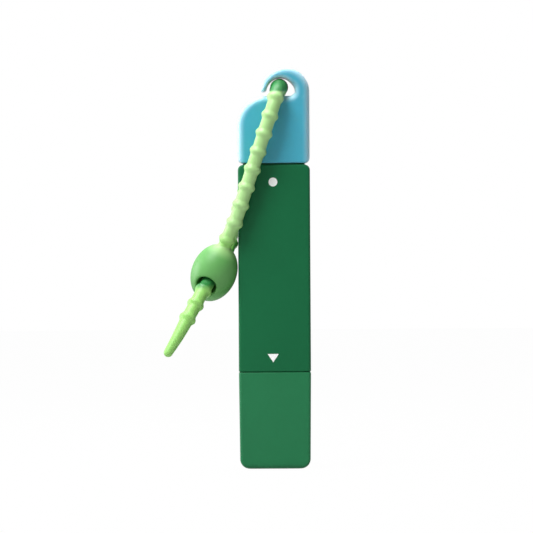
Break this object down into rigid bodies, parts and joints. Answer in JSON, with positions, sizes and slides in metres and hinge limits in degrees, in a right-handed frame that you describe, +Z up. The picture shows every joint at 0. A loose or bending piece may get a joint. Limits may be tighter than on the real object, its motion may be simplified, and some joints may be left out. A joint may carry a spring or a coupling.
{
  "type": "stain remover pen",
  "caption": "Flat two-ended stain remover pen: spring-valve felt nib under a hooked cap, scrub brush under the foot cap, knobbed strap looped through the hook's eye and its bead.",
  "frame": {"origin": "centre of the foot, the flat lower face of the brush cap", "axes": "+Z up along the pen from the brush end to the hook, +X to the right seen from the front, -Y out of the front face"},
  "size_m": [0.0448, 0.0337, 0.1223],
  "materials": {
    "barrel_green": "satin moulded plastic",
    "cap_green": "satin gloss moulded plastic",
    "cap_blue": "glossy moulded plastic",
    "white_plastic": "satin moulded plastic",
    "clear_plastic": "milky blow-moulded plastic",
    "seal_rubber": "matt",
    "spring_steel": "bright drawn wire",
    "nib_felt": "pressed fibre",
    "strap_silicone": "satin silicone",
    "bead_silicone": "satin silicone",
    "bristle_nylon": "nylon"
  },
  "bodies": {
    "pen": {"barrel": "barrel_green", "top_collar": "barrel_green", "reservoir": "clear_plastic", "reservoir_plug": "white_plastic", "neck_seal": "seal_rubber", "valve_housing": "white_plastic", "valve_gasket": "seal_rubber", "valve_retainer": "white_plastic", "valve_spring": "spring_steel", "nib_holder": "white_plastic", "brush_base": "barrel_green", "brush_plate": "white_plastic", "bristles": "bristle_nylon"},
    "nib_and_valve": {"nib": "nib_felt", "nib_socket": "white_plastic", "valve_stem": "white_plastic"},
    "remover_cap": {"remover_cap": "cap_blue", "cap_liner": "white_plastic"},
    "strap": {"strap_cord": "strap_silicone", "strap_bead": "bead_silicone"},
    "brush_cap": {"brush_cap": "cap_green"}
  },
  "joints": [
    {"name": "remover_cap_pull", "type": "slide", "parent": "pen", "child": "remover_cap", "axis": [0, 0, 1], "range_m": [0, 0.02]},
    {"name": "strap_swing", "type": "hinge", "parent": "remover_cap", "child": "strap", "pos_m": [0.0019, 0, 0.1164], "axis": [0, 1, 0], "range_deg": [0, 90]},
    {"name": "nib_press", "type": "slide", "parent": "pen", "child": "nib_and_valve", "axis": [0, 0, -1], "range_m": [0, 0.0012], "stiffness_N_per_m": 300, "springref_m": -0.001, "deforming": ["valve_spring"]},
    {"name": "brush_cap_pull", "type": "slide", "parent": "pen", "child": "brush_cap", "axis": [0, 0, -1], "range_m": [0, 0.026]}
  ]
}
